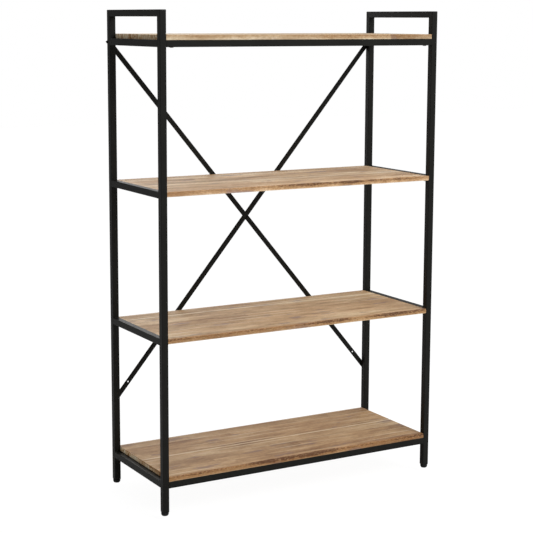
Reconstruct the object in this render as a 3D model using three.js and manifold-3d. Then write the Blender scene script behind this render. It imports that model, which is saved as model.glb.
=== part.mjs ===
// Open bookcase: two welded end frames of square steel tube, long rails at the top and bottom shelf,
// four solid wood boards, a pair of flat-bar cross braces on the back and four screw-in levelling feet.
// Millimetres, +X to the right, +Y to the back, +Z up, origin on the floor under the middle of the object.
import * as THREE from "three";
import { mergeVertices } from "three/addons/utils/BufferGeometryUtils.js";
import Module from "manifold-3d";

const wasm = await Module();
wasm.setup();

// Frame
const WIDTH = 1000; // over the posts
const DEPTH = 385; // over the posts
const TUBE = 20; // square tube of posts and rails
const WALL = 1.2;
const CORNER = 2; // outer corner radius of the tube
const LEAST_CORNER = 0.5; // inner corners and plugs
const FRAME_TOP = 1540; // top of the end frames
const POST_BOTTOM = 12.6;
const BOTTOM_LEVEL = 87; // underside of the rails of the bottom shelf
const LEVEL_PITCH = 448; // from one shelf's rails to the next
const GAP = 0.3; // between pieces that touch
const MITRE_GAP = 1.5 * GAP; // off each end of the top rails, for a joint of about GAP across the mitre

// Boards
const BOARD_THICKNESS = 15;
const BOARD_DEPTH = 380;
const BOARD_END_GAP = 0.5;
const INSET_BOARD_LIFT = 4.5; // underside of a middle board above its rails' underside
const LEDGE_WIDTH = 25;
const LEDGE_THICKNESS = 2;
const LEDGE_HOLE_RADIUS = 2.4;
const LEDGE_HOLE_INSET = 70; // from the ledge's ends

// Long rails are pushed over spigots and locked by one bolt from below at each end
const SPIGOT_LENGTH = 40;
const SPIGOT_WALL = 3;
const BOLT_INSET = 22; // from the post's inner face
const BOLT_RADIUS = 3; // M6
const BOLT_HEAD_RADIUS = 6.75;
const BOLT_HEAD_HEIGHT = 2.4;
const BOLT_LENGTH = 12;
const BOLT_SOCKET_WIDTH = 4; // across flats

// Cross braces
const BRACE_WIDTH = 15;
const BRACE_THICKNESS = 2.5;
const BRACE_TOP_SCREW = 1436;
const BRACE_LOW_SCREW = 273;
const BRACE_TOP_MARGIN = 13; // bar beyond the screw
const BRACE_LOW_MARGIN = 8;
const BRACE_SPARE_HOLE = 77; // from the low screw, along the bar
const BRACE_HOLE_RADIUS = 3;
const BOW_STEPS = 24; // straight stretches in the bowed brace
const SCREW_RADIUS = 2.5; // M5
const SCREW_HEAD_RADIUS = 4.75;
const SCREW_HEAD_HEIGHT = 2.75;
const SCREW_LENGTH = 14;
const SCREW_SOCKET_WIDTH = 3;

// Levelling feet
const PAD_RADIUS = 12;
const PAD_FLOOR_RADIUS = 7.5;
const PAD_HEIGHT = 10.5;
const PAD_BORE_DEPTH = 6.5;
const STUD_RADIUS = 4; // M8
const STUD_LENGTH = 34;
const PLUG_FLANGE = 1.5;
const PLUG_DEPTH = 18;

const LEFT = -1;
const RIGHT = 1;
const FRONT = -1;
const BACK = 1;
const levels = {
  bottom: BOTTOM_LEVEL,
  lower: BOTTOM_LEVEL + LEVEL_PITCH,
  upper: BOTTOM_LEVEL + 2 * LEVEL_PITCH,
  top: BOTTOM_LEVEL + 3 * LEVEL_PITCH,
};
const sides = { left: LEFT, right: RIGHT };
const faces = { front: FRONT, back: BACK };
const postX = WIDTH / 2 - TUBE / 2;
const postY = DEPTH / 2 - TUBE / 2;

// The feet stand out at the front and the brace screws at the back: shift all so that the box is centred.
const proudBack = GAP + BRACE_THICKNESS + GAP + SCREW_HEAD_HEIGHT;
const proudFront = PAD_RADIUS - TUBE / 2;
const CENTRE_SHIFT = (proudFront - proudBack) / 2;

const powderCoat = new THREE.MeshStandardMaterial({ color: 0x1d1d1c, roughness: 0.5, metalness: 0.35 });
const wood = new THREE.MeshStandardMaterial({ color: 0xb08c68, roughness: 0.7, metalness: 0 });
const blackScrew = new THREE.MeshStandardMaterial({ color: 0x151515, roughness: 0.4, metalness: 0.7 });
const zinc = new THREE.MeshStandardMaterial({ color: 0xa9acae, roughness: 0.35, metalness: 1 });
const blackPlastic = new THREE.MeshStandardMaterial({ color: 0x121212, roughness: 0.6, metalness: 0 });

// Boolean helpers

const MERGE_DISTANCE = 1e-4;

function solidOf(geometry) {
  const bare = geometry.clone();
  bare.deleteAttribute("normal");
  bare.deleteAttribute("uv");
  const merged = mergeVertices(bare, MERGE_DISTANCE);
  return new wasm.Manifold(
    new wasm.Mesh({
      numProp: 3,
      vertProperties: new Float32Array(merged.attributes.position.array),
      triVerts: new Uint32Array(merged.index.array),
    }),
  );
}

function geometryOf(solid) {
  const mesh = solid.getMesh();
  const indexed = new THREE.BufferGeometry();
  indexed.setAttribute("position", new THREE.BufferAttribute(mesh.vertProperties, 3));
  indexed.setIndex(new THREE.BufferAttribute(mesh.triVerts, 1));
  const geometry = indexed.toNonIndexed();
  geometry.computeVertexNormals();
  return geometry;
}

function cut(geometry, ...cutters) {
  let solid = solidOf(geometry);
  for (const cutter of cutters) solid = solid.subtract(solidOf(cutter));
  return geometryOf(solid);
}

function join(geometry, other) {
  return geometryOf(solidOf(geometry).add(solidOf(other)));
}

// Geometry helpers

function roundedSquare(PathType, size, radius) {
  const path = new PathType();
  const c = size / 2 - radius;
  path.moveTo(size / 2, -c);
  path.absarc(c, c, radius, 0, Math.PI / 2);
  path.absarc(-c, c, radius, Math.PI / 2, Math.PI);
  path.absarc(-c, -c, radius, Math.PI, 1.5 * Math.PI);
  path.absarc(c, -c, radius, 1.5 * Math.PI, 2 * Math.PI);
  return path;
}

// Square tube along +Z, from z = 0, centred on the axis.
function tube(length, size = TUBE, wall = WALL, corner = CORNER) {
  const shape = roundedSquare(THREE.Shape, size, corner);
  const innerCorner = Math.max(corner - wall, LEAST_CORNER);
  shape.holes.push(roundedSquare(THREE.Path, size - 2 * wall, innerCorner));
  return new THREE.ExtrudeGeometry(shape, { depth: length, bevelEnabled: false, curveSegments: 2 });
}

function alongX(geometry) {
  return geometry.rotateY(Math.PI / 2);
}

function alongY(geometry) {
  return geometry.rotateX(-Math.PI / 2);
}

function cylinder(radius, length, segments = 16) {
  return new THREE.CylinderGeometry(radius, radius, length, segments);
}

// A big block that cuts off what lies beyond the plane through point with the given normal.
function blockBeyond(point, normal) {
  const size = 4 * TUBE;
  const block = new THREE.BoxGeometry(size, size, size).translate(0, 0, size / 2);
  const up = new THREE.Vector3(0, 0, 1);
  const turn = new THREE.Quaternion().setFromUnitVectors(up, normal.clone().normalize());
  return block.applyQuaternion(turn).translate(point.x, point.y, point.z);
}

const bookcase = new THREE.Group();
const content = new THREE.Group();
content.position.y = CENTRE_SHIFT;
bookcase.add(content);

function place(name, geometry, material, x, y, z) {
  const mesh = new THREE.Mesh(geometry, material);
  mesh.name = name;
  mesh.position.set(x, y, z);
  content.add(mesh);
}

// End frames: posts and the top rails meet in 45 degree mitres.

function post(face) {
  const top = FRAME_TOP - POST_BOTTOM;
  const corner = new THREE.Vector3(0, (face * TUBE) / 2, top);
  let geometry = cut(tube(top), blockBeyond(corner, new THREE.Vector3(0, -face, 1)));
  if (face === BACK) {
    const holes = [BRACE_TOP_SCREW, BRACE_LOW_SCREW].map((z) =>
      cylinder(SCREW_RADIUS + GAP, TUBE / 2).translate(0, TUBE / 2, z - POST_BOTTOM),
    );
    geometry = cut(geometry, ...holes);
  }
  return geometry;
}

function endTopRail() {
  const mitres = [FRONT, BACK].map((face) =>
    blockBeyond(
      new THREE.Vector3(0, face * (DEPTH / 2 - TUBE - MITRE_GAP), -TUBE / 2),
      new THREE.Vector3(0, face, -1),
    ),
  );
  return cut(alongY(tube(DEPTH)).translate(0, -DEPTH / 2, 0), ...mitres);
}

function buildEndFrame(side, sign) {
  const x = sign * postX;
  for (const [face, faceSign] of Object.entries(faces))
    place(`post_${face}_${side}`, post(faceSign), powderCoat, x, faceSign * postY, POST_BOTTOM);
  place(`end_top_rail_${side}`, endTopRail(), powderCoat, x, 0, FRAME_TOP - TUBE / 2);
  const railLength = DEPTH - 2 * TUBE - 2 * GAP;
  for (const [level, z] of Object.entries(levels)) {
    const rail = alongY(tube(railLength)).translate(0, -railLength / 2, 0);
    place(`side_rail_${side}_${level}`, rail, powderCoat, x, 0, z + TUBE / 2);
  }
}

// Long rails with their spigots and bolts

function longRail() {
  const length = WIDTH - 2 * TUBE - 2 * GAP;
  const boltX = WIDTH / 2 - TUBE - BOLT_INSET;
  const rail = alongX(tube(length)).translate(-length / 2, 0, 0);
  const holes = [LEFT, RIGHT].map((sign) =>
    alongY(cylinder(BOLT_RADIUS + GAP, TUBE / 2)).translate(sign * boltX, 0, -TUBE / 2),
  );
  return cut(rail, ...holes);
}

function spigot(sign) {
  const size = TUBE - 2 * WALL - 2 * GAP;
  const block = alongX(tube(SPIGOT_LENGTH, size, SPIGOT_WALL, 1)).translate(-SPIGOT_LENGTH / 2, 0, 0);
  const holeX = sign * (SPIGOT_LENGTH / 2 + GAP - BOLT_INSET);
  return cut(block, alongY(cylinder(BOLT_RADIUS + GAP, size / 2)).translate(holeX, 0, -size / 2));
}

// Button-head screw along +Z with its head below z = 0 and a hexagon socket in the head.
function buttonScrew(radius, length, headRadius, headHeight, socketWidth) {
  const profile = [
    new THREE.Vector2(0, -headHeight),
    new THREE.Vector2(0.55 * headRadius, -headHeight),
    new THREE.Vector2(0.86 * headRadius, -0.66 * headHeight),
    new THREE.Vector2(headRadius, -0.2 * headHeight),
    new THREE.Vector2(headRadius, 0),
    new THREE.Vector2(radius, 0),
    new THREE.Vector2(radius, length - 1),
    new THREE.Vector2(radius - 1, length),
    new THREE.Vector2(0, length),
  ];
  const screw = new THREE.LatheGeometry(profile, 16).rotateX(Math.PI / 2);
  const socket = alongY(cylinder(socketWidth / Math.sqrt(3), headHeight, 6)).translate(0, 0, -headHeight);
  return cut(screw, socket);
}

function railBolt() {
  return buttonScrew(BOLT_RADIUS, BOLT_LENGTH, BOLT_HEAD_RADIUS, BOLT_HEAD_HEIGHT, BOLT_SOCKET_WIDTH);
}

function braceScrew() {
  const screw = buttonScrew(
    SCREW_RADIUS,
    SCREW_LENGTH,
    SCREW_HEAD_RADIUS,
    SCREW_HEAD_HEIGHT,
    SCREW_SOCKET_WIDTH,
  );
  return screw.rotateX(Math.PI / 2);
}

function buildLongRails(level) {
  const z = levels[level] + TUBE / 2;
  for (const [face, faceSign] of Object.entries(faces)) {
    const y = faceSign * postY;
    place(`${face}_rail_${level}`, longRail(), powderCoat, 0, y, z);
    for (const [side, sign] of Object.entries(sides)) {
      const end = `${level}_${face}_${side}`;
      const spigotX = sign * (WIDTH / 2 - TUBE - GAP - SPIGOT_LENGTH / 2);
      place(`rail_spigot_${end}`, spigot(sign), powderCoat, spigotX, y, z);
      const boltX = sign * (WIDTH / 2 - TUBE - BOLT_INSET);
      place(`rail_bolt_${end}`, railBolt(), blackScrew, boltX, y, levels[level] - GAP);
    }
  }
}

// Boards: the top and bottom ones lie on the long rails, the middle ones between the side rails on ledges.

function buildBoard(level, lift) {
  const length = WIDTH - 2 * TUBE - 2 * BOARD_END_GAP;
  const board = new THREE.BoxGeometry(length, BOARD_DEPTH, BOARD_THICKNESS);
  const z = levels[level] + lift + BOARD_THICKNESS / 2;
  place(`${level}_board`, board, wood, 0, (BOARD_DEPTH - DEPTH) / 2, z);
}

function ledge() {
  const length = DEPTH - 2 * TUBE - 2 * GAP;
  const strip = new THREE.BoxGeometry(LEDGE_WIDTH, length, LEDGE_THICKNESS);
  const holeY = length / 2 - LEDGE_HOLE_INSET;
  const holes = [FRONT, BACK].map((face) =>
    alongY(cylinder(LEDGE_HOLE_RADIUS, TUBE, 12)).translate(0, face * holeY, 0),
  );
  return cut(strip, ...holes);
}

function buildLedges(level) {
  const x = WIDTH / 2 - TUBE - GAP - LEDGE_WIDTH / 2;
  const z = levels[level] + INSET_BOARD_LIFT - GAP - LEDGE_THICKNESS / 2;
  for (const [side, sign] of Object.entries(sides))
    place(`shelf_ledge_${level}_${side}`, ledge(), powderCoat, sign * x, 0, z);
}

// Cross braces: one bar lies flat against the posts, the other bows out to pass behind it.

function braceBar(bow) {
  const span = Math.hypot(2 * postX, BRACE_TOP_SCREW - BRACE_LOW_SCREW);
  const start = -BRACE_LOW_MARGIN;
  const end = span + BRACE_TOP_MARGIN;
  const steps = bow ? BOW_STEPS : 1;
  const near = [];
  const far = [];
  for (let i = 0; i <= steps; i++) {
    const x = start + ((end - start) * i) / steps;
    const y = bow * Math.sin(Math.PI * THREE.MathUtils.clamp(x / span, 0, 1));
    near.push(new THREE.Vector2(x, y));
    far.unshift(new THREE.Vector2(x, y + BRACE_THICKNESS));
  }
  const outline = new THREE.Shape([...near, ...far]);
  const bar = new THREE.ExtrudeGeometry(outline, { depth: BRACE_WIDTH, bevelEnabled: false });
  const holes = [0, BRACE_SPARE_HOLE, span].map((x) =>
    cylinder(BRACE_HOLE_RADIUS, 4 * BRACE_THICKNESS + 2 * bow).translate(x, 0, 0),
  );
  return cut(bar.translate(0, 0, -BRACE_WIDTH / 2), ...holes);
}

function buildBrace(name, lowSide, bow) {
  const slope = Math.atan2(BRACE_TOP_SCREW - BRACE_LOW_SCREW, 2 * postX);
  const bar = braceBar(bow).rotateY(lowSide === LEFT ? -slope : slope - Math.PI);
  place(name, bar, powderCoat, lowSide * postX, DEPTH / 2 + GAP, BRACE_LOW_SCREW);
}

function buildBraceScrews() {
  const seat = DEPTH / 2 + GAP + BRACE_THICKNESS + GAP;
  for (const [side, sign] of Object.entries(sides))
    for (const [height, z] of Object.entries({ top: BRACE_TOP_SCREW, low: BRACE_LOW_SCREW }))
      place(`brace_screw_${height}_${side}`, braceScrew(), blackScrew, sign * postX, seat, z);
}

// Levelling foot: a plug in the tube's end, a threaded stud and a moulded pad that turns the stud.

function footPlug() {
  const bore = alongY(cylinder(STUD_RADIUS + GAP, 4 * PLUG_DEPTH));
  const flange = new THREE.ExtrudeGeometry(roundedSquare(THREE.Shape, TUBE, CORNER), {
    depth: PLUG_FLANGE,
    bevelEnabled: false,
    curveSegments: 2,
  });
  const bodySize = TUBE - 2 * WALL - 2 * GAP;
  const body = new THREE.ExtrudeGeometry(roundedSquare(THREE.Shape, bodySize, LEAST_CORNER), {
    depth: PLUG_DEPTH + PLUG_FLANGE / 2,
    bevelEnabled: false,
    curveSegments: 1,
  });
  return cut(join(flange, body.translate(0, 0, PLUG_FLANGE / 2)), bore);
}

function footStud() {
  const profile = [
    new THREE.Vector2(0, 0),
    new THREE.Vector2(STUD_RADIUS, 0),
    new THREE.Vector2(STUD_RADIUS, STUD_LENGTH - 1),
    new THREE.Vector2(STUD_RADIUS - 1, STUD_LENGTH),
    new THREE.Vector2(0, STUD_LENGTH),
  ];
  return new THREE.LatheGeometry(profile, 16).rotateX(Math.PI / 2);
}

function footPad() {
  const boreRadius = STUD_RADIUS + GAP;
  const boreFloor = PAD_HEIGHT - PAD_BORE_DEPTH;
  const profile = [
    new THREE.Vector2(0, 0),
    new THREE.Vector2(PAD_FLOOR_RADIUS, 0),
    new THREE.Vector2(0.8 * PAD_RADIUS, 0.14 * PAD_HEIGHT),
    new THREE.Vector2(0.93 * PAD_RADIUS, 0.4 * PAD_HEIGHT),
    new THREE.Vector2(PAD_RADIUS, 0.72 * PAD_HEIGHT),
    new THREE.Vector2(PAD_RADIUS, 0.93 * PAD_HEIGHT),
    new THREE.Vector2(0.94 * PAD_RADIUS, PAD_HEIGHT),
    new THREE.Vector2(boreRadius, PAD_HEIGHT),
    new THREE.Vector2(boreRadius, boreFloor),
    new THREE.Vector2(0, boreFloor),
  ];
  return new THREE.LatheGeometry(profile, 24).rotateX(Math.PI / 2);
}

function buildFoot(corner, x, y) {
  const plugBottom = POST_BOTTOM - GAP - PLUG_FLANGE;
  place(`foot_plug_${corner}`, footPlug(), blackPlastic, x, y, plugBottom);
  place(`foot_stud_${corner}`, footStud(), zinc, x, y, PAD_HEIGHT - PAD_BORE_DEPTH + GAP);
  place(`foot_pad_${corner}`, footPad(), blackPlastic, x, y, 0);
}

for (const [side, sign] of Object.entries(sides)) {
  buildEndFrame(side, sign);
  for (const [face, faceSign] of Object.entries(faces))
    buildFoot(`${face}_${side}`, sign * postX, faceSign * postY);
}
for (const level of ["bottom", "top"]) {
  buildLongRails(level);
  buildBoard(level, TUBE + GAP);
}
for (const level of ["lower", "upper"]) {
  buildLedges(level);
  buildBoard(level, INSET_BOARD_LIFT);
}
buildBrace("brace_rising_right", LEFT, GAP + BRACE_THICKNESS);
buildBrace("brace_rising_left", RIGHT, 0);
buildBraceScrews();

export default bookcase;
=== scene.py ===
import math
from collections import namedtuple

import bmesh
import bpy
from mathutils import Matrix, Vector, noise


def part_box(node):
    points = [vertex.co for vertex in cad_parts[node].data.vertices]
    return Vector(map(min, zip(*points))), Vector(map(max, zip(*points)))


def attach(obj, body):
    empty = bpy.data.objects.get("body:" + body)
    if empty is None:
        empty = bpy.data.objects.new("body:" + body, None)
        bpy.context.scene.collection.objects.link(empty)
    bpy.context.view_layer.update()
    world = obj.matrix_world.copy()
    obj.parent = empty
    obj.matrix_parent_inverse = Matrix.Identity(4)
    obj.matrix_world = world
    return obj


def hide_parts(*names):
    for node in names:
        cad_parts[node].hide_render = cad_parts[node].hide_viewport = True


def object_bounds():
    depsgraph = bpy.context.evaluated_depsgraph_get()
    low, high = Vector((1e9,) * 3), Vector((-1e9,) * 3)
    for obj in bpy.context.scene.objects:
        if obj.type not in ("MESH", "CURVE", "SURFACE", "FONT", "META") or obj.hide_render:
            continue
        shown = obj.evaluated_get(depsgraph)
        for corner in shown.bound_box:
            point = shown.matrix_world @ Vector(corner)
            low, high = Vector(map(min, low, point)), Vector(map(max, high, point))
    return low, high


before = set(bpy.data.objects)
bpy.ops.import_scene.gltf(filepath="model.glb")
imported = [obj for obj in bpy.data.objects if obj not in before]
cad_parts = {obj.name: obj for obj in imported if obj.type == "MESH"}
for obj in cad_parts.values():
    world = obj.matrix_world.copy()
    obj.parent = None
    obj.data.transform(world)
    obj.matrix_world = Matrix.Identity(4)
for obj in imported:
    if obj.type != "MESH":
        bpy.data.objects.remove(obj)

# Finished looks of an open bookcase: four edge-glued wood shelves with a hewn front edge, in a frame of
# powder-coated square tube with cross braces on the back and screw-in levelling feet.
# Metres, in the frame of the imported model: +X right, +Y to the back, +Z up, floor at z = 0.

cad_low, cad_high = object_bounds()

MM = 0.001
SIDES = {"left": -1, "right": 1}
FACES = {"front": -1, "back": 1}
LEVELS = ("bottom", "lower", "upper", "top")
X, Y, Z = Vector((1, 0, 0)), Vector((0, 1, 0)), Vector((0, 0, 1))

# Square tube. Its faces stand a little proud of the CAD's, because the photo's tubes look a little thicker.
FULLER = 0.4 * MM
WALL = 1.2 * MM
CORNER = 1.5 * MM
CORNER_STEPS = 5
MITRE_ROUND = 3.5 * MM
MITRE_LOOPS = (0.0, 0.1, 0.25, 0.45, 0.7, 1.0)  # shares of MITRE_ROUND at which a mitred end has loops

# Weld beads where a side rail meets a post
BEAD_RADIUS = 1.2 * MM
BEAD_PROUD = 0.15 * MM  # how far the bead's middle stands out past a radius under the rail's face
BEAD_TO_POST = 0.3 * MM  # how far its middle lies inside the post
BEAD_RIPPLE = 1.7 * MM  # from one ripple to the next
BEAD_STEPS = 20
BEAD_ROUND_STEPS = 10

# Shelves
STAVE_WIDTH = 38 * MM
STAVE_LENGTH = 0.55
STATION = 2.0 * MM  # from one cross-section of a shelf to the next
EASE = 0.8 * MM  # rounding of the edges that aren't hewn
EDGE_WAVE = 0.5 * MM  # how far the front edge strays from straight
HEWN_WIDTH = (1.0 * MM, 7.5 * MM)  # how wide the hewn corner is where it is shallowest, and how much is added
HEWN_DROP = (0.9 * MM, 8.0 * MM)  # the same for its height
HEWN_STEPS = 9
FACE_STEPS = 4
DARK_LINE = 4.5 * MM  # from a shelf's top down to the dark line along its front

# Each shelf's look. Its front edge is hewn most over a stretch with the middle hewn_at and the half length
# hewn_reach, where the depth goes up to deepest, and it is about elsewhere on the rest (0 none, 1 most).
# light_line is the place in Y of a long painted highlight along the seam between two staves, tint is painted
# light and shade for the shelf's level, darker low down where the shelves above shade it and lighter high up,
# and seed is for the edge's shape and the grain.
ShelfLook = namedtuple("ShelfLook", "hewn_at hewn_reach deepest elsewhere light_line tint seed")
SHELF_LOOKS = {
    "bottom": ShelfLook(-0.02, 0.22, 1.0, 0.50, 0.004, (0.787, 0.764, 0.733), 3),
    "lower": ShelfLook(0.27, 0.24, 0.90, 0.46, 0.120, (0.934, 0.962, 0.980), 11),
    "upper": ShelfLook(0.16, 0.30, 0.85, 0.20, -0.030, (1.118, 1.180, 1.292), 19),
    "top": ShelfLook(0.22, 0.20, 0.30, 0.08, 0.050, (0.985, 1.15, 1.35), 29),
}

# Flat bars. The braces are a little wider than the CAD's, because the photo's look wider.
BRACE_WIDTH = 16.3 * MM
BRACE_TOP_MARGIN = 13 * MM  # from a brace's top screw to its end
BRACE_LOW_MARGIN = 5.5 * MM
BRACE_SPARE_HOLE = 77 * MM  # from a brace's low screw to its spare hole
BRACE_HOLE = 2.6 * MM
BRACE_STEPS = 48
BAR_EDGE = 0.4 * MM
HOLE_STEPS = 32
LEDGE_HOLE = 2.4 * MM
LEDGE_HOLE_INSET = 70 * MM

# Screws: radius and height of the head, radius and length of the shank, width and kind of the recess
Screw = namedtuple("Screw", "head height shank length recess kind")
RAIL_BOLT = Screw(6.75 * MM, 2.4 * MM, 3.0 * MM, 12 * MM, 4.0 * MM, "hexagon")
BRACE_SCREW = Screw(4.75 * MM, 2.75 * MM, 2.5 * MM, 14 * MM, 3.0 * MM, "hexagon")
SIDE_SCREW = Screw(2.6 * MM, 1.3 * MM, 1.2 * MM, 3 * MM, 2.6 * MM, "cross")
LEDGE_SCREW = Screw(3.9 * MM, 1.9 * MM, 1.8 * MM, 11 * MM, 3.6 * MM, "cross")
SIDE_SCREW_INSET = 30 * MM  # from the outer face of the post
HEAD_RIM = 0.2  # share of a head's height that its upright rim takes
DOME_STEPS = 8
ROUND_STEPS = 48

# Levelling feet
THREAD_PITCH = 1.25 * MM
THREAD_DEPTH = 0.6 * MM
THREAD_ROWS = 8
THREAD_STEPS = 36
THREAD_RUN_IN = 4 * MM
THREAD_RUN_OUT = 1.5 * MM
STUD_TIP = 0.9 * MM
PAD_STEPS = 144
PAD_RIBS = 24
RIB_DEPTH = 0.25 * MM
PAD_FLOOR = 0.6  # share of a pad's radius where its rounding starts
PAD_ROUND = 0.78  # share of its height where the rounding ends
PAD_WALL = 0.84  # share of its height up to which its side is upright
PAD_RIM = 1.1 * MM
PAD_SOCKET = 0.37  # share of its height where the bottom of the stud's socket is
BORE = 4.3 * MM
PLUG_FLANGE = 1.5 * MM
PLUG_STEPS = 96


# Places in the frame


def centre(node):
    low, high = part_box(node)
    return (low + high) / 2


def size(node):
    low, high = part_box(node)
    return high - low


TUBE = size("post_front_left").x


# Node graphs


def srgb(red, green, blue):
    """A colour given as the eye sees it, 0 to 255, as the linear colour that a shader takes."""
    linear = [((c / 255 + 0.055) / 1.055) ** 2.4 if c > 10 else c / 255 / 12.92 for c in (red, green, blue)]
    return (*linear, 1.0)


class Graph:
    """The nodes of a material or world, and short calls that add to them. Most give back an output socket."""

    def __init__(self, owner):
        owner.use_nodes = True
        self.owner = owner
        self.tree = owner.node_tree

    def put(self, socket, value):
        if isinstance(value, bpy.types.NodeSocket):
            self.tree.links.new(value, socket)
        else:
            socket.default_value = value

    def node(self, kind, output, inputs, **settings):
        made = self.tree.nodes.new(kind)
        for key, value in settings.items():
            setattr(made, key, value)
        for key, value in inputs.items():
            self.put(made.inputs[key], value)
        return made.outputs[output]

    def math(self, operation, *values):
        return self.node("ShaderNodeMath", 0, dict(enumerate(values)), operation=operation)

    def place(self):
        return self.node("ShaderNodeTexCoord", "Object", {})

    def split(self, vector):
        made = self.tree.nodes.new("ShaderNodeSeparateXYZ")
        self.put(made.inputs[0], vector)
        return made.outputs

    def join(self, x, y, z):
        return self.node("ShaderNodeCombineXYZ", 0, {0: x, 1: y, 2: z})

    def stretch(self, vector, scale):
        return self.node("ShaderNodeVectorMath", 0, {0: vector, 1: scale}, operation="MULTIPLY")

    def noise(self, vector, scale=1.0, detail=2.0, roughness=0.5):
        inputs = {"Vector": vector, "Scale": scale, "Detail": detail, "Roughness": roughness}
        return self.node("ShaderNodeTexNoise", "Fac", inputs)

    def cells(self, along, output, **settings):
        inputs = {"W": along, "Scale": 1.0, "Randomness": 0.45}
        return self.node("ShaderNodeTexVoronoi", output, inputs, voronoi_dimensions="1D", **settings)

    def fade(self, value, low, high, first=0.0, last=1.0):
        """first where value is low or less, last where it is high or more, and smooth between them."""
        inputs = {"Value": value, "From Min": low, "From Max": high, "To Min": first, "To Max": last}
        return self.node("ShaderNodeMapRange", 0, inputs, interpolation_type="SMOOTHSTEP")

    def mix(self, share, a, b, blend="MIX"):
        made = self.tree.nodes.new("ShaderNodeMix")
        made.data_type = "RGBA"
        made.blend_type = blend
        self.put(made.inputs[0], share)
        self.put(made.inputs[6], a)
        self.put(made.inputs[7], b)
        return made.outputs[2]

    def ramp(self, value, stops):
        made = self.tree.nodes.new("ShaderNodeValToRGB")
        band = made.color_ramp.elements
        while len(band) < len(stops):
            band.new(0.5)
        for element, (place, colour) in zip(band, stops):
            element.position = place
            element.color = colour
        self.put(made.inputs[0], value)
        return made.outputs["Color"]

    def bump(self, height, strength, distance):
        inputs = {"Height": height, "Strength": strength, "Distance": distance}
        return self.node("ShaderNodeBump", 0, inputs)

    def finish(self, **inputs):
        """Sets the shader's inputs, with _ for each space in their names, and gives back the material."""
        shader = self.tree.nodes["Principled BSDF"]
        for key, value in inputs.items():
            self.put(shader.inputs[key.replace("_", " ")], value)
        return self.owner


# Materials


def powder_coat():
    g = Graph(bpy.data.materials.new("powder_coat"))
    place = g.place()
    mottle = g.noise(place, 14.0, 3.0)
    peel = g.noise(place, 750.0, 2.0)
    speck = g.noise(place, 2600.0, 1.0)
    colour = g.ramp(mottle, [(0.3, srgb(15, 15, 11)), (0.7, srgb(21, 21, 17))])
    relief = g.math("MULTIPLY_ADD", speck, 0.5, peel)
    return g.finish(
        Base_Color=colour,
        Roughness=g.fade(peel, 0.3, 0.7, 0.42, 0.56),
        Specular_IOR_Level=0.17,
        Normal=g.bump(relief, 0.25, 0.06 * MM),
    )


def black_screw():
    g = Graph(bpy.data.materials.new("black_screw"))
    place = g.place()
    worn = g.noise(place, 320.0, 3.0)
    return g.finish(
        Base_Color=g.ramp(worn, [(0.35, srgb(22, 22, 22)), (0.75, srgb(46, 45, 43))]),
        Metallic=0.6,
        Roughness=g.fade(worn, 0.3, 0.7, 0.3, 0.45),
        Normal=g.bump(g.noise(place, 2500.0, 2.0), 0.15, 0.04 * MM),
    )


def zinc():
    g = Graph(bpy.data.materials.new("zinc"))
    place = g.place()
    cloud = g.noise(place, 160.0, 3.0)
    return g.finish(
        Base_Color=g.ramp(cloud, [(0.3, srgb(176, 178, 176)), (0.7, srgb(206, 207, 203))]),
        Metallic=1.0,
        Roughness=g.fade(cloud, 0.3, 0.7, 0.26, 0.42),
        Normal=g.bump(g.noise(place, 1800.0, 2.0), 0.1, 0.03 * MM),
    )


def black_plastic():
    g = Graph(bpy.data.materials.new("black_plastic"))
    place = g.place()
    grain = g.noise(place, 1900.0, 2.0)
    return g.finish(
        Base_Color=g.ramp(g.noise(place, 90.0), [(0.3, srgb(16, 16, 16)), (0.7, srgb(24, 24, 23))]),
        Roughness=g.fade(grain, 0.3, 0.7, 0.46, 0.62),
        Specular_IOR_Level=0.25,
        Normal=g.bump(grain, 0.3, 0.05 * MM),
    )


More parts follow.
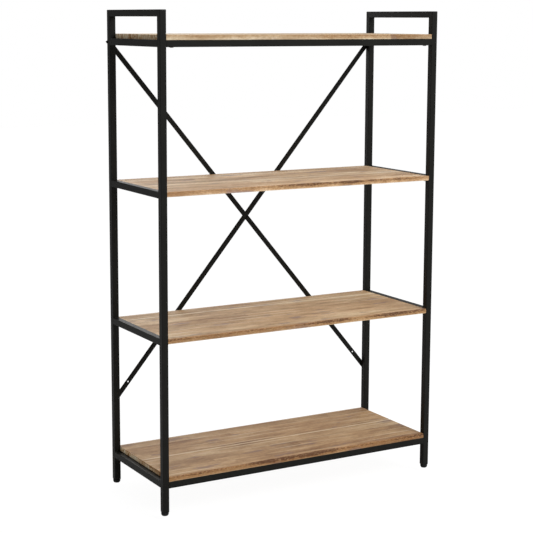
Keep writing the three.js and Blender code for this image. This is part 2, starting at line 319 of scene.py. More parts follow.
def wood(level):
    """Edge-glued staves along X, each of its own tone, with striped end grain, a brown hewn edge, and painted
    light and shade in a tint for the shelf's level.
    """
    look = SHELF_LOOKS[level]
    g = Graph(bpy.data.materials.new(f"wood_{level}"))
    place = g.place()
    x, y, z = g.split(place)
    across = g.math("MULTIPLY_ADD", y, 1 / STAVE_WIDTH, 0.37 * look.seed)
    stave_tone, stave_hue, stave_shift = g.split(g.cells(across, "Color"))
    along = g.math("MULTIPLY_ADD", stave_shift, 5.0, g.math("MULTIPLY", x, 1 / STAVE_LENGTH))
    block_tone, block_hue, block_shift = g.split(g.cells(along, "Color"))

    # Every block is cut from another place of the tree.
    shift = g.math("MULTIPLY_ADD", stave_shift, 3.1, 0.6 * look.seed)
    shift = g.math("MULTIPLY_ADD", block_shift, 1.7, shift)
    grain = g.join(g.math("ADD", x, shift), g.math("ADD", y, shift), g.math("MULTIPLY_ADD", shift, 0.6, z))
    cloud = g.noise(g.stretch(grain, (5.0, 15.0, 15.0)), 1.0, 2.0, 0.55)
    mottle = g.noise(g.stretch(grain, (26.0, 62.0, 62.0)), 1.0, 3.0, 0.65)
    fleck = g.noise(g.stretch(grain, (75.0, 130.0, 130.0)), 1.0, 2.0, 0.7)
    streak = g.noise(g.stretch(grain, (7.0, 210.0, 210.0)), 1.0, 3.0, 0.6)
    fibre = g.noise(g.stretch(grain, (30.0, 900.0, 900.0)), 1.0, 3.0, 0.6)
    pores = g.noise(g.stretch(grain, (90.0, 1800.0, 1800.0)), 1.0, 1.0)

    tone = g.math("MULTIPLY_ADD", stave_tone, 0.07, g.math("MULTIPLY", block_tone, 0.10))
    for figure, weight in ((cloud, 0.80), (mottle, 0.38), (fleck, 0.28), (streak, 0.18), (fibre, 0.15)):
        tone = g.math("MULTIPLY_ADD", figure, weight, tone)
    colour = g.ramp(
        g.math("SUBTRACT", tone, 0.50),
        [
            (0.24, srgb(158, 120, 82)),
            (0.40, srgb(196, 160, 119)),
            (0.56, srgb(220, 186, 144)),
            (0.76, srgb(246, 220, 182)),
        ],
    )
    colour = g.mix(g.fade(stave_hue, 0.0, 1.0, 0.0, 0.4), colour, srgb(250, 232, 218), "MULTIPLY")
    colour = g.mix(g.fade(block_hue, 0.3, 1.0, 0.0, 0.4), colour, srgb(236, 236, 240), "MULTIPLY")

    # Brown streaks, short grey-violet marks, open pores, and a browner back edge
    brown = g.noise(g.stretch(grain, (5.0, 60.0, 60.0)), 1.0, 2.0)
    colour = g.mix(g.fade(brown, 0.56, 0.74, 0.0, 0.55), colour, srgb(160, 116, 76))
    mark = g.noise(g.stretch(grain, (8.0, 24.0, 24.0)), 1.0, 3.0, 0.6)
    colour = g.mix(g.fade(mark, 0.60, 0.68, 0.0, 0.7), colour, srgb(148, 122, 118))
    colour = g.mix(g.fade(pores, 0.62, 0.72, 0.0, 0.3), colour, srgb(110, 80, 56))
    low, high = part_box(f"{level}_board")
    colour = g.mix(g.fade(y, high.y - 60 * MM, high.y, 0.0, 0.4), colour, srgb(164, 124, 84))

    # Seams between staves: a painted highlight of their eased edges on some stretches, dark on others and
    # lost in between, and one long painted highlight along one seam
    edge = g.cells(across, "Distance", feature="DISTANCE_TO_EDGE")
    joint = g.fade(edge, 0.03, 0.085, 1.0, 0.0)
    along_line = g.math("MULTIPLY_ADD", stave_shift, 7.0, g.math("MULTIPLY", x, 2.4))
    run = g.noise(g.join(along_line, 0.0, look.seed), 1.0, 0.0)
    lit = g.math("MULTIPLY", joint, g.fade(run, 0.50, 0.58, 0.0, 0.7))
    shaded = g.math("MULTIPLY", joint, g.fade(run, 0.38, 0.46, 0.4, 0.0))
    off_line = g.math("ABSOLUTE", g.math("SUBTRACT", y, look.light_line))
    on_line = g.fade(off_line, 2.0 * MM, 5.0 * MM, 1.0, 0.0)
    breaks = g.noise(g.stretch(place, (9.0, 0.0, 0.0)), 1.0, 2.0)
    long_seam_highlight = g.math("MULTIPLY", on_line, g.fade(breaks, 0.3, 0.55, 0.3, 0.95))
    # Pale colour on the seams: painted highlight
    colour = g.mix(g.math("MAXIMUM", lit, long_seam_highlight), colour, srgb(255, 240, 210))
    colour = g.mix(shaded, colour, srgb(146, 110, 76))

    # The shelf's tint: painted light and shade for its level, darker on the lower shelves, which the shelves
    # above shade, and lighter higher up. The end grain and the hewn edge don't get it.
    colour = g.mix(1.0, colour, (*look.tint, 1), "MULTIPLY")

    # End grain, striped by the year rings
    facing = g.split(g.node("ShaderNodeNewGeometry", "Normal", {}))[0]
    end = g.fade(g.math("ABSOLUTE", facing), 0.6, 0.8)
    growth = g.noise(g.stretch(grain, (0.0, 30.0, 12.0)), 1.0, 1.0)
    rings = g.math("SINE", g.math("MULTIPLY", growth, 60.0))
    end_tone = g.math("MULTIPLY_ADD", rings, 0.42, g.math("MULTIPLY_ADD", stave_tone, 0.7, 0.2))
    end_stops = [(0.0, srgb(176, 124, 76)), (0.45, srgb(240, 204, 154)), (1.0, srgb(255, 240, 212))]
    colour = g.mix(end, colour, g.ramp(end_tone, end_stops))

    # Hewn edge: brown, bark-dark where it is deepest, chipped light in places, and with a dark line along it.
    # Its front faces are also darker and browner, partly from the wood's tone and partly as painted shade.
    hewn = g.node("ShaderNodeAttribute", "Fac", {}, attribute_name="hewn")
    rough = g.noise(g.stretch(place, (130.0, 300.0, 300.0)), 1.0, 5.0, 0.85)
    patch = g.noise(g.stretch(place, (48.0, 210.0, 210.0)), 1.0, 4.0, 0.65)
    brown_share = g.fade(g.math("MULTIPLY_ADD", rough, 2.2, hewn), 1.15, 1.65)
    dark = g.math("MULTIPLY_ADD", rough, 2.6, g.math("MULTIPLY_ADD", patch, 1.0, hewn))
    colour = g.mix(g.math("MULTIPLY", brown_share, 0.7), colour, srgb(174, 132, 84))
    colour = g.mix(g.fade(dark, 2.35, 2.8, 0.0, 0.9), colour, srgb(98, 62, 36))
    front = g.fade(hewn, 0.08, 0.2)
    chipped = g.math("MULTIPLY", front, g.fade(rough, 0.38, 0.48, 0.5, 0.0))
    colour = g.mix(chipped, colour, srgb(232, 204, 160))
    below = g.math("SUBTRACT", high.z - DARK_LINE, z)
    line = g.math("MULTIPLY", front, g.fade(g.math("ABSOLUTE", below), 0.7 * MM, 2.0 * MM, 1.0, 0.0))
    strength = g.math("MULTIPLY", g.fade(patch, 0.42, 0.6, 0.15, 0.8), g.fade(hewn, 0.2, 0.5, 0.3, 1.0))
    colour = g.mix(g.math("MULTIPLY", line, strength), colour, srgb(96, 66, 40))
    # Front faces darker and browner: partly the hewn wood's tone, partly painted shade that tones down where
    # the key light falls on them
    colour = g.mix(front, colour, srgb(238, 226, 214), "MULTIPLY")

    relief = g.math("MULTIPLY_ADD", fibre, 0.5, g.math("MULTIPLY", streak, 0.3))
    relief = g.math("MULTIPLY_ADD", joint, -0.35, relief)
    relief = g.math("MULTIPLY_ADD", g.math("MULTIPLY", rough, hewn), 2.4, relief)
    return g.finish(
        Base_Color=colour,
        Roughness=g.fade(fibre, 0.3, 0.7, 0.52, 0.68),
        Specular_IOR_Level=0.3,
        Normal=g.bump(relief, 0.45, 0.35 * MM),
    )


STEEL = (powder_coat(), "powder_coat")
SCREW = (black_screw(), "black_screw")
ZINC = (zinc(), "zinc")
PLASTIC = (black_plastic(), "black_plastic")


# Meshes


def piece(name, points, faces, finish, body="root", stands_for=()):
    """A visible piece from points in the row frame: shaded smooth, riding on body, in place of CAD nodes."""
    material, slot = finish
    mesh = bpy.data.meshes.new(name)
    mesh.from_pydata([tuple(p) for p in points], [], faces)
    work = bmesh.new()
    work.from_mesh(mesh)
    bmesh.ops.recalc_face_normals(work, faces=work.faces)
    work.to_mesh(mesh)
    work.free()
    mesh.shade_smooth()
    mesh.set_sharp_from_angle(angle=math.radians(38))
    mesh.materials.append(material)
    made = bpy.data.objects.new(name, mesh)
    bpy.context.scene.collection.objects.link(made)
    made.modifiers.new("normals", "WEIGHTED_NORMAL").keep_sharp = True
    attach(made, body)
    if stands_for:
        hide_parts(*stands_for)
    return made


def skin(loops, ring=False, first=0):
    """
    Points and faces of a skin through loops of equally many points. A ring joins the last loop to the first.
    Any other skin is closed with a face over each end. first is the number of the first point.
    """
    count = len(loops[0])
    points = [p for loop in loops for p in loop]
    faces = []
    for i in range(len(loops) if ring else len(loops) - 1):
        a = first + i * count
        b = first + (i + 1) % len(loops) * count
        faces += [(a + j, a + (j + 1) % count, b + (j + 1) % count, b + j) for j in range(count)]
    if not ring:
        faces.append(tuple(range(first, first + count)))
        faces.append(tuple(range(first + len(points) - count, first + len(points))))
    return points, faces


def turned(axis):
    """The rotation that takes +Z to axis."""
    return Z.rotation_difference(axis).to_matrix()


# Square tubes


def rounded_square(half_a, half_b, radius, steps=CORNER_STEPS):
    outline = []
    for quarter, (a, b) in enumerate(((1, 1), (-1, 1), (-1, -1), (1, -1))):
        for i in range(steps + 1):
            turn = (quarter + i / steps) * math.pi / 2
            corner_a = a * (half_a - radius) + radius * math.cos(turn)
            corner_b = b * (half_b - radius) + radius * math.sin(turn)
            outline.append((corner_a, corner_b))
    return outline


def tube(node, axes, low, high, low_tilt=0, high_tilt=0, finish_point=lambda point: point):
    """
    Square tube in place of a CAD node, along the third of axes from low to high. The tilts slope its ends
    along the second of axes, and finish_point moves each of its points.
    """
    a_axis, b_axis, along = axes
    half = TUBE / 2 + FULLER
    inside = TUBE / 2 - WALL
    outer = rounded_square(half, half, CORNER)
    inner = rounded_square(inside, inside, CORNER - WALL)
    middle = centre(node)
    middle -= along * middle.dot(along)

    def loop(outline, end, tilt):
        return [finish_point(middle + a_axis * a + b_axis * b + along * (end + tilt * b)) for a, b in outline]

    def steps(tilt):
        return [MITRE_ROUND * share for share in MITRE_LOOPS] if tilt else [0]

    loops = [loop(outer, low + step, low_tilt) for step in steps(low_tilt)]
    loops += [loop(outer, high - step, high_tilt) for step in reversed(steps(high_tilt))]
    loops += [loop(inner, high, high_tilt), loop(inner, low, low_tilt)]
    piece(f"{node}_tube", *skin(loops, ring=True), STEEL, stands_for=[node])


def rounded_mitres(side):
    """A function that moves a point out of an end frame's sharp top corners onto their ground rounding."""
    front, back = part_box(f"post_front_{side}"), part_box(f"post_back_{side}")
    top = front[1].z + FULLER

    def finish_point(point):
        for face, inward in ((front[0].y - FULLER, 1), (back[1].y + FULLER, -1)):
            across = MITRE_ROUND - (point.y - face) * inward
            above = MITRE_ROUND - (top - point.z)
            reach = math.hypot(across, above)
            if across > 0 and above > 0 and reach > MITRE_ROUND:
                shrink = MITRE_ROUND / reach
                y = face + inward * (MITRE_ROUND - across * shrink)
                return Vector((point.x, y, top - MITRE_ROUND + above * shrink))
        return point

    return finish_point


def build_end_frame(side):
    front_low, front_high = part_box(f"post_front_{side}")
    back_low, back_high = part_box(f"post_back_{side}")
    half = TUBE / 2
    rounding = rounded_mitres(side)
    for face, sign in FACES.items():
        tube(f"post_{face}_{side}", (X, Y, Z), front_low.z, front_high.z - half, 0, sign, rounding)
    tube(f"end_top_rail_{side}", (X, Z, Y), front_low.y + half, back_high.y - half, -1, 1, rounding)
    for level in LEVELS:
        tube(f"side_rail_{side}_{level}", (X, Z, Y), front_high.y, back_low.y)


def build_long_rail(node):
    low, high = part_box(node)
    tube(node, (Y, Z, X), low.x, high.x)


def circle_turns(steps):
    return [2 * math.pi * i / steps for i in range(steps)]


def weld_bead(middle, inward):
    """Loops of a rippled bead round the end of a side rail, whose axis meets the post at middle."""
    half = TUBE / 2 + FULLER
    path = rounded_square(half - BEAD_RADIUS + BEAD_PROUD, half, CORNER, steps=6)
    loops = []
    travelled = 0
    for i, (a, c) in enumerate(path):
        next_a, next_c = path[(i + 1) % len(path)]
        stretch = math.hypot(next_a - a, next_c - c)
        steps = BEAD_STEPS if stretch > CORNER else 1
        for step in range(steps):
            share = step / steps
            at = Vector((a + (next_a - a) * share, 0, c + (next_c - c) * share))
            outward = at.normalized()
            radius = BEAD_RADIUS * (1 + 0.07 * math.sin(travelled / BEAD_RIPPLE * 2 * math.pi))
            radius *= 1 + 0.12 * noise.noise((middle + at) * 300)
            hub = middle + at - Y * inward * BEAD_TO_POST
            turns = circle_turns(BEAD_ROUND_STEPS)
            loops.append([hub + outward * radius * math.cos(t) + Y * radius * math.sin(t) for t in turns])
            travelled += stretch / steps
    return loops


def build_welds(side):
    points, faces = [], []
    for level in LEVELS:
        middle = centre(f"side_rail_{side}_{level}")
        for face, sign in FACES.items():
            low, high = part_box(f"post_{face}_{side}")
            middle.y = high.y if sign < 0 else low.y
            more_points, more_faces = skin(weld_bead(middle, -sign), ring=True, first=len(points))
            points += more_points
            faces += more_faces
    piece(f"weld_beads_{side}", points, faces, STEEL)


# Shelves


def unit_noise(x, row, seed):
    """Smooth noise from 0 to 1 along x."""
    return min(1.0, max(0.0, 0.5 + 0.9 * noise.noise(Vector((x, row, seed)))))


def hewn_depth(x, look):
    """How deeply the front edge is hewn at x, 0 to 1."""
    rise = max(0.0, 1 - abs((x - look.hewn_at) / look.hewn_reach) ** 3)
    chips = 0.55 * unit_noise(x * 11, 1.7, look.seed) + 0.45 * unit_noise(x * 38, 5.1, look.seed)
    everywhere = look.elsewhere * (0.4 + 1.1 * unit_noise(x * 7, 8.3, look.seed))
    return everywhere + (look.deepest - look.elsewhere) * rise * min(1.0, 1.7 * chips)


def shelf_section(x, shrink, look, low, high):
    """
    Outline of a shelf at x, pulled in by shrink: (y, z, hewn) from the back underside to the front, and back
    over the top. hewn says how strongly the material shows a point as hewn.
    """
    seed = look.seed
    deep = hewn_depth(x, look)
    front = low.y + EDGE_WAVE * unit_noise(x * 6, 2.9, seed) + shrink
    bottom, top, back = low.z + shrink, high.z - shrink, high.y - shrink
    width = HEWN_WIDTH[0] + HEWN_WIDTH[1] * deep * (0.6 + 0.4 * unit_noise(x * 21, 3.3, seed))
    drop = HEWN_DROP[0] + HEWN_DROP[1] * deep * (0.5 + 0.5 * unit_noise(x * 27, 6.1, seed))

    # Underside and the upright face above it
    outline = [(back, bottom + EASE, 0), (back - EASE, bottom, 0)]
    outline += [(front + 1.4 * EASE, bottom, 0), (front + 0.4 * EASE, bottom + 0.4 * EASE, 0)]
    foot = bottom + 1.5 * EASE
    for i in range(FACE_STEPS):
        rough = EDGE_WAVE * (0.3 + deep) * max(0.0, noise.noise(Vector((x * 90, i * 1.3 + 20, seed))))
        z = foot + (top - drop - foot) * i / FACE_STEPS
        outline.append((front + rough, z, (0.12 + 0.6 * deep) * min(1, i / 1.5)))

    # Hewn corner, with bites out of it
    for i in range(HEWN_STEPS + 1):
        turn = i / HEWN_STEPS * math.pi / 2
        bite = max(0.0, noise.noise(Vector((x * 140, i * 0.9, seed)))) * (0.14 + 1.05 * deep) * MM
        y = front + width * (1 - math.cos(turn)) + bite
        z = top - drop * (1 - math.sin(turn)) - (bite if i < HEWN_STEPS else 0)
        outline.append((y, z, 0.2 + deep if i < HEWN_STEPS else 0.05 + 0.8 * deep))

    # Top, where the look of the hewn corner fades out
    outline += [(front + width + 3 * MM, top, 0.12 * deep), (front + width + 9 * MM, top, 0)]
    outline += [(back - EASE, top, 0), (back, top - EASE, 0)]
    return outline


def build_shelf(level):
    node = f"{level}_board"
    low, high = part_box(node)
    length = high.x - low.x
    count = round(length / STATION)
    eased_end = [(0, 0.6 * EASE), (0.25 * EASE, 0.25 * EASE), (0.7 * EASE, 0.05 * EASE)]
    stations = [(low.x + inset, shrink) for inset, shrink in eased_end]
    stations += [(low.x + length * i / count, 0.0) for i in range(1, count)]
    stations += [(high.x - inset, shrink) for inset, shrink in reversed(eased_end)]
    loops, hewn = [], []
    for x, shrink in stations:
        section = shelf_section(x, shrink, SHELF_LOOKS[level], low, high)
        loops.append([Vector((x, y, z)) for y, z, _ in section])
        hewn += [share for _, _, share in section]
    made = piece(f"{level}_shelf", *skin(loops), (wood(level), "wood"), stands_for=[node])
    made.data.attributes.new("hewn", "FLOAT", "POINT").data.foreach_set("value", hewn)


# Flat bars with holes


def flat_bar(name, length, width, thickness, holes, hole_radius, steps, place, stands_for):
    """Bar of eased flat steel, from 0 to length along its own x. place takes its points to the row frame."""
    curve = bpy.data.curves.new(name, "CURVE")
    curve.dimensions = "2D"
    curve.fill_mode = "BOTH"
    low_side = [(length * i / steps, -width / 2) for i in range(steps + 1)]
    high_side = [(length * (steps - i) / steps, width / 2) for i in range(steps + 1)]
    rim = [(hole_radius * math.cos(t), hole_radius * math.sin(t)) for t in circle_turns(HOLE_STEPS)]
    rims = [[(hole + x, y) for x, y in rim] for hole in holes]
    for outline in [low_side + high_side, *rims]:
        spline = curve.splines.new("POLY")
        spline.points.add(len(outline) - 1)
        for point, (x, y) in zip(spline.points, outline):
            point.co = (x, y, 0, 1)
        spline.use_cyclic_u = True
    curve.extrude = thickness / 2 - BAR_EDGE
    curve.bevel_depth = BAR_EDGE
    curve.bevel_resolution = 2
    curve.offset = -BAR_EDGE
    drawn = bpy.data.objects.new(name, curve)
    bpy.context.scene.collection.objects.link(drawn)
    flat = bpy.data.meshes.new_from_object(drawn.evaluated_get(bpy.context.evaluated_depsgraph_get()))
    bpy.data.objects.remove(drawn)
    bpy.data.curves.remove(curve)
    work = bmesh.new()
    work.from_mesh(flat)
    bmesh.ops.remove_doubles(work, verts=work.verts, dist=0.001 * MM)
    points = [place(v.co) for v in work.verts]
    faces = [tuple(v.index for v in f.verts) for f in work.faces]
    work.free()
    bpy.data.meshes.remove(flat)
    piece(name, points, faces, STEEL, stands_for=stands_for)


def build_brace(node, low_side, bow):
    """Flat bar across the back from its screw low on low_side, bowed out to pass behind the other brace."""
    high_side = "left" if low_side == "right" else "right"
    low_screw = centre(f"brace_screw_low_{low_side}")
    top_screw = centre(f"brace_screw_top_{high_side}")
    run = Vector((top_screw.x - low_screw.x, 0, top_screw.z - low_screw.z))
    span = run.length
    along = run.normalized()
    across = along.cross(Y)
    thickness = size("brace_rising_left").y
    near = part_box(node)[0].y

    def place(point):
        travelled = point.x - BRACE_LOW_MARGIN
        share = min(1.0, max(0.0, travelled / span))
        depth = near + thickness / 2 + point.z + bow * math.sin(math.pi * share)
        return Vector((low_screw.x, depth, low_screw.z)) + along * travelled + across * point.y

    flat_bar(
        f"{node}_bar",
        length=BRACE_LOW_MARGIN + span + BRACE_TOP_MARGIN,
        width=BRACE_WIDTH,
        thickness=thickness,
        holes=[BRACE_LOW_MARGIN + x for x in (0, BRACE_SPARE_HOLE, span)],
        hole_radius=BRACE_HOLE,
        steps=BRACE_STEPS,
        place=place,
        stands_for=[node],
    )


def build_ledge(level, side):
    """
    Strip that a shelf's end rests on, with two screws from below. The CAD has none at the top and bottom
    levels, so there it is a copy of the lower one, flush with the rails' tops.
    """
    in_cad = level in ("lower", "upper")
    low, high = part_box(f"shelf_ledge_{level if in_cad else 'lower'}_{side}")
    middle, length, thickness = (low + high) / 2, high.y - low.y, high.z - low.z
    if not in_cad:
        middle.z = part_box(f"side_rail_{side}_{level}")[1].z - thickness / 2
    name = f"shelf_ledge_{level}_{side}"
    flat_bar(
        f"{name}_strip",
        length=length,
        width=high.x - low.x,
        thickness=thickness,
        holes=[LEDGE_HOLE_INSET, length - LEDGE_HOLE_INSET],
        hole_radius=LEDGE_HOLE,
        steps=1,
        place=lambda point: Vector((middle.x - point.y, low.y + point.x, middle.z + point.z)),
        stands_for=[name] if in_cad else (),
    )
    for face, y in (("front", low.y + LEDGE_HOLE_INSET), ("back", high.y - LEDGE_HOLE_INSET)):
        screw(f"{name}_screw_{face}", Vector((middle.x, y, middle.z - thickness / 2)), -Z, LEDGE_SCREW)


# Screws


def recess_radius(kind, width, turn):
    """Distance from the middle to the edge of a screw's recess in direction turn."""
    if kind == "hexagon":
        return width / 2 / math.cos((turn + math.pi / 6) % (math.pi / 3) - math.pi / 6)
    reach, half = width / 2, width / 9
    sine, cosine = (max(abs(part), 1e-9) for part in (math.sin(turn), math.cos(turn)))
    return max(min(half / sine, reach / cosine), min(half / cosine, reach / sine))


def screw(name, seat, outward, sizes, stands_for=()):
    """Domed screw whose head stands on seat and looks outward, with a recess and a plain shank behind."""
    head, height, shank, length, recess, kind = sizes
    turns = circle_turns(ROUND_STEPS)
    flat_top = (0.66 if kind == "hexagon" else 0.3) * recess

    def round_loop(radius, z):
        return [(radius * math.cos(t), radius * math.sin(t), z) for t in turns]

    def recess_loop(share, z):
        reach = [share * recess_radius(kind, recess, t) for t in turns]
        return [(r * math.cos(t), r * math.sin(t), z) for r, t in zip(reach, turns)]

    loops = [round_loop(0.75 * shank, -length), round_loop(shank, -length + 0.25 * shank)]
    loops += [round_loop(shank, 0), round_loop(0.97 * head, 0)]
    loops += [round_loop(head, 0.08 * height), round_loop(head, HEAD_RIM * height)]
    top_turn = math.acos(flat_top / head)
    for i in range(1, DOME_STEPS + 1):
        turn = top_turn * i / DOME_STEPS
        rise = math.sin(turn) / math.sin(top_turn)
        loops.append(round_loop(head * math.cos(turn), height * (HEAD_RIM + (1 - HEAD_RIM) * rise)))
    if kind == "cross":
        loops.append(recess_loop(1.0, height * 0.99))
    else:
        loops.append(recess_loop(1.04, height))
        loops.append(recess_loop(1.0, height * 0.96))
    loops.append(recess_loop(0.96, height * 0.35))
    turn = turned(outward)
    placed = [[seat + turn @ Vector(p) for p in loop] for loop in loops]
    piece(name, *skin(placed), SCREW, stands_for=stands_for)


def build_screws():
    for level in ("bottom", "top"):
        for face in FACES:
            for side in SIDES:
                node = f"rail_bolt_{level}_{face}_{side}"
                seat = centre(node)
                seat.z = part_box(f"{face}_rail_{level}")[0].z
                screw(f"{node}_button_head", seat, -Z, RAIL_BOLT, [node])
    for height in ("top", "low"):
        for side in SIDES:
            node = f"brace_screw_{height}_{side}"
            seat = centre(node)
            seat.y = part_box("brace_rising_left")[1].y
            screw(f"{node}_button_head", seat, Y, BRACE_SCREW, [node])
    for side, sign in SIDES.items():
        low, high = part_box(f"side_rail_{side}_top")
        for face, face_sign in FACES.items():
            post_low, post_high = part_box(f"post_{face}_{side}")
            seat = centre(f"side_rail_{side}_top")
            seat.x = low.x if sign < 0 else high.x
            seat.y = post_low.y + SIDE_SCREW_INSET if face_sign < 0 else post_high.y - SIDE_SCREW_INSET
            screw(f"side_screw_{face}_{side}", seat, X * sign, SIDE_SCREW)


# Levelling feet


def square_reach(half, radius, turn):
    """Distance from the middle of a rounded square to its outline in direction turn."""
    a, b = abs(math.cos(turn)), abs(math.sin(turn))
    core = half - radius
    reach = half / max(a, b)
    if min(a, b) * reach <= core:
        return reach
    return core * (a + b) + math.sqrt(max(0.0, radius**2 - core**2 * (a - b) ** 2))


def around(middle, turns, reach, z):
    return [Vector((middle.x + r * math.cos(t), middle.y + r * math.sin(t), z)) for r, t in zip(reach, turns)]


def build_plug(corner):
    node = f"foot_plug_{corner}"
    low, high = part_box(node)
    middle = centre(node)
    turns = circle_turns(PLUG_STEPS)
    half = TUBE / 2
    inside = half - WALL - 0.25 * MM
    flange = low.z + PLUG_FLANGE

    def square(size_half, radius, z):
        return around(middle, turns, [square_reach(size_half, radius, t) for t in turns], z)

    def bore(radius, z):
        return around(middle, turns, [radius] * len(turns), z)

    loops = [bore(BORE, low.z + 0.3 * MM), bore(BORE + 0.3 * MM, low.z)]
    loops += [square(half - 0.9 * MM, 1.5 * MM, low.z), square(half - 0.3 * MM, 1.8 * MM, low.z + 0.25 * MM)]
    loops += [square(half - 0.05 * MM, CORNER, low.z + 0.8 * MM), square(half - 0.05 * MM, CORNER, flange)]
    loops += [square(inside, 1 * MM, flange), square(inside, 1 * MM, high.z - 3 * MM)]
    loops += [square(inside - 1.2 * MM, 1 * MM, high.z), bore(BORE, high.z)]
    piece(f"{node}_moulding", *skin(loops, ring=True), PLASTIC, stands_for=[node])


def build_stud(corner):
    node = f"foot_stud_{corner}"
    low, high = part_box(node)
    middle = centre(node)
    turns = circle_turns(THREAD_STEPS)
    major = (high.x - low.x) / 2
    rows = round((high.z - low.z) / THREAD_PITCH * THREAD_ROWS)
    loops = []
    for row in range(rows + 1):
        z = low.z + (high.z - low.z) * row / rows
        taper = max(0.0, min(1.0, (z - low.z) / THREAD_RUN_IN, (high.z - z) / THREAD_RUN_OUT))
        tip = STUD_TIP * max(0.0, 1 - (high.z - z) / THREAD_RUN_OUT)
        reach = []
        for turn in turns:
            phase = ((z - low.z) / THREAD_PITCH - turn / (2 * math.pi)) % 1.0
            valley = min(1.0, max(0.0, 1.25 * abs(2 * phase - 1) - 0.12))
            reach.append(major - THREAD_DEPTH * valley * taper - tip)
        loops.append(around(middle, turns, reach, z))
    piece(f"{node}_thread", *skin(loops), ZINC, body=f"stud_{corner}", stands_for=[node])


def build_pad(corner):
    node = f"foot_pad_{corner}"
    low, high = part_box(node)
    middle = centre(node)
    turns = circle_turns(PAD_STEPS)
    radius = (high.x - low.x) / 2
    height = high.z - low.z
    floor_radius = PAD_FLOOR * radius

    # Profile as (radius, height, share of the ribs' depth): hollow underside, rounding, rim and socket
    profile = [(0.2 * radius, 0.5 * MM, 0), (0.48 * radius, 0.5 * MM, 0), (0.52 * radius, 0, 0)]
    for i in range(11):
        turn = i / 10 * math.pi / 2
        out = floor_radius + (radius - floor_radius) * math.sin(turn)
        profile.append((out, PAD_ROUND * height * (1 - math.cos(turn)), i / 10))
    profile.append((radius, PAD_WALL * height, 1))
    for i in range(1, 6):
        turn = i / 5 * math.pi / 2
        out = radius - PAD_RIM * (1 - math.cos(turn))
        profile.append((out, height - PAD_RIM * (1 - math.sin(turn)), 1 - i / 5))
    socket = PAD_SOCKET * height
    profile += [(BORE + 1.4 * MM, height, 0), (BORE + 0.9 * MM, height - 0.4 * MM, 0)]
    profile += [(BORE, height - 0.4 * MM, 0), (BORE, socket, 0), (0.3 * BORE, socket, 0)]
    loops = []
    for out, z, ribbed in profile:
        reach = [out - RIB_DEPTH * ribbed * (0.5 - 0.5 * math.cos(PAD_RIBS * t)) for t in turns]
        loops.append(around(middle, turns, reach, low.z + z))
    piece(f"{node}_moulding", *skin(loops), PLASTIC, body=f"pad_{corner}", stands_for=[node])


# The object

for side in SIDES:
    build_end_frame(side)
    build_welds(side)
    for face in FACES:
        build_plug(f"{face}_{side}")
        build_stud(f"{face}_{side}")
        build_pad(f"{face}_{side}")
    for level in LEVELS:
        build_ledge(level, side)
for face in FACES:
    for level in ("bottom", "top"):
        build_long_rail(f"{face}_rail_{level}")
for level in LEVELS:
    build_shelf(level)
build_brace("brace_rising_left", "right", 0)
build_brace("brace_rising_right", "left", size("brace_rising_right").y - size("brace_rising_left").y)
build_screws()

# The rails' spigots, inside the tubes, are as the CAD has them.
for name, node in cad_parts.items():
    if name.startswith("rail_spigot"):
        for material_slot in node.material_slots:
            material_slot.material = STEEL[0]


# Studio: a floor and a world that look white, and three softboxes

FLOOR_HALF = 15.0
FLOOR_Z = -12.5 * MM  # under the feet's furthest reach, so that it hides no foot in any pose
FLOOR_SHADE = 0.12  # how pale the floor looks besides its own glow, so how deep the shade on it may be
FLOOR_WHITE = 0.95
FLOOR_BOUNCE = 0.75  # how much of its light the floor sends back up at the bookcase
WORLD_LIGHT = 0.45
WORLD_LEAN = (0.25, -0.08, 0.1)  # how much more light comes from the right, the front and above


def grey(level):
    return (level, level, level, 1)


def seen_by_camera(g):
    return g.node("ShaderNodeLightPath", "Is Camera Ray", {})


def build_floor():
    """Pale floor that comes out white, with a trace of shade under the bookcase."""
    g = Graph(bpy.data.materials.new("studio_floor"))
    seen = seen_by_camera(g)
    cloud = g.noise(g.place(), 0.4, 1.0)
    bounce = g.ramp(cloud, [(0.3, grey(FLOOR_BOUNCE)), (0.7, grey(1.03 * FLOOR_BOUNCE))])
    material = g.finish(
        Base_Color=g.mix(seen, bounce, grey(FLOOR_SHADE)),
        Roughness=0.9,
        Specular_IOR_Level=0.0,
        Emission_Color=grey(1),
        Emission_Strength=g.math("MULTIPLY", seen, FLOOR_WHITE),
    )
    mesh = bpy.data.meshes.new("studio_floor")
    corners = [(a * FLOOR_HALF, b * FLOOR_HALF, FLOOR_Z) for a, b in ((-1, -1), (1, -1), (1, 1), (-1, 1))]
    mesh.from_pydata(corners, [], [(0, 1, 2, 3)])
    mesh.materials.append(material)
    floor = bpy.data.objects.new("studio_floor", mesh)
    bpy.context.scene.collection.objects.link(floor)


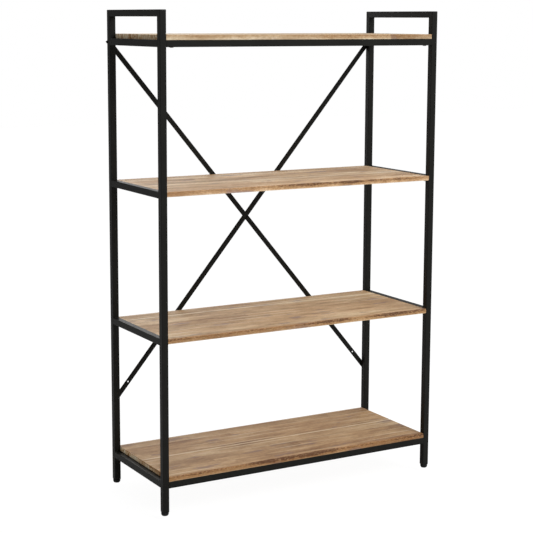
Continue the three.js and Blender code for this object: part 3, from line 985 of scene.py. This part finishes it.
def build_world():
    """White to the camera. Its light on the bookcase is softer, and leans so that left faces are darker."""
    world = bpy.data.worlds.new("studio")
    g = Graph(world)
    background = g.tree.nodes["Background"]
    g.put(background.inputs["Color"], grey(1))
    seen = seen_by_camera(g)
    direction = g.node("ShaderNodeTexCoord", "Generated", {})
    lean = g.node("ShaderNodeVectorMath", "Value", {0: direction, 1: WORLD_LEAN}, operation="DOT_PRODUCT")
    light = g.math("MULTIPLY", g.math("ADD", lean, WORLD_LIGHT), g.math("SUBTRACT", 1.0, seen))
    g.put(background.inputs["Strength"], g.math("ADD", seen, light))
    bpy.context.scene.world = world


def softbox(name, at, toward, width, watts):
    light = bpy.data.lights.new(name, "AREA")
    light.shape = "SQUARE"
    light.size = width
    light.energy = watts
    lamp = bpy.data.objects.new(name, light)
    lamp.location = at
    lamp.rotation_mode = "QUATERNION"
    lamp.rotation_quaternion = (Vector(toward) - Vector(at)).to_track_quat("-Z", "Y")
    lamp.visible_camera = False
    bpy.context.scene.collection.objects.link(lamp)


build_floor()
build_world()
middle_of_object = (cad_low + cad_high) / 2
softbox("key", at=(2.2, -4.4, 4.2), toward=middle_of_object, width=2.6, watts=150)
softbox("top", at=(0.2, -0.6, 6.0), toward=middle_of_object, width=2.8, watts=60)
# Behind the right half: the right end frame's inner faces reflect it, and the left one's outer faces don't
softbox("back", at=(0.3, 2.4, 1.55), toward=(0.3, 0.0, 1.55), width=1.6, watts=14)

# Camera: at the front left, at the height of the bookcase's top, looking slightly down

CAMERA_AT = (-2.3094, -3.9780, 1.5140)
CAMERA_YAW = math.radians(29.84)
CAMERA_PITCH = math.radians(-8.54)
CAMERA_ROLL = math.radians(0.22)
CAMERA_LENS = 95.88
CAMERA_SHIFT_Y = -0.0647

camera_data = bpy.data.cameras.new("camera")
camera_data.sensor_width = 36.0
camera_data.lens = CAMERA_LENS
camera_data.shift_y = CAMERA_SHIFT_Y
camera_data.clip_start = 0.05
camera = bpy.data.objects.new("camera", camera_data)
tilt = Matrix.Rotation(math.pi / 2 + CAMERA_PITCH, 4, "X")
camera.matrix_world = (
    Matrix.Translation(CAMERA_AT)
    @ Matrix.Rotation(-CAMERA_YAW, 4, "Z")
    @ tilt
    @ Matrix.Rotation(CAMERA_ROLL, 4, "Z")
)
bpy.context.scene.collection.objects.link(camera)
bpy.context.scene.camera = camera
bpy.context.scene.view_settings.view_transform = "Standard"
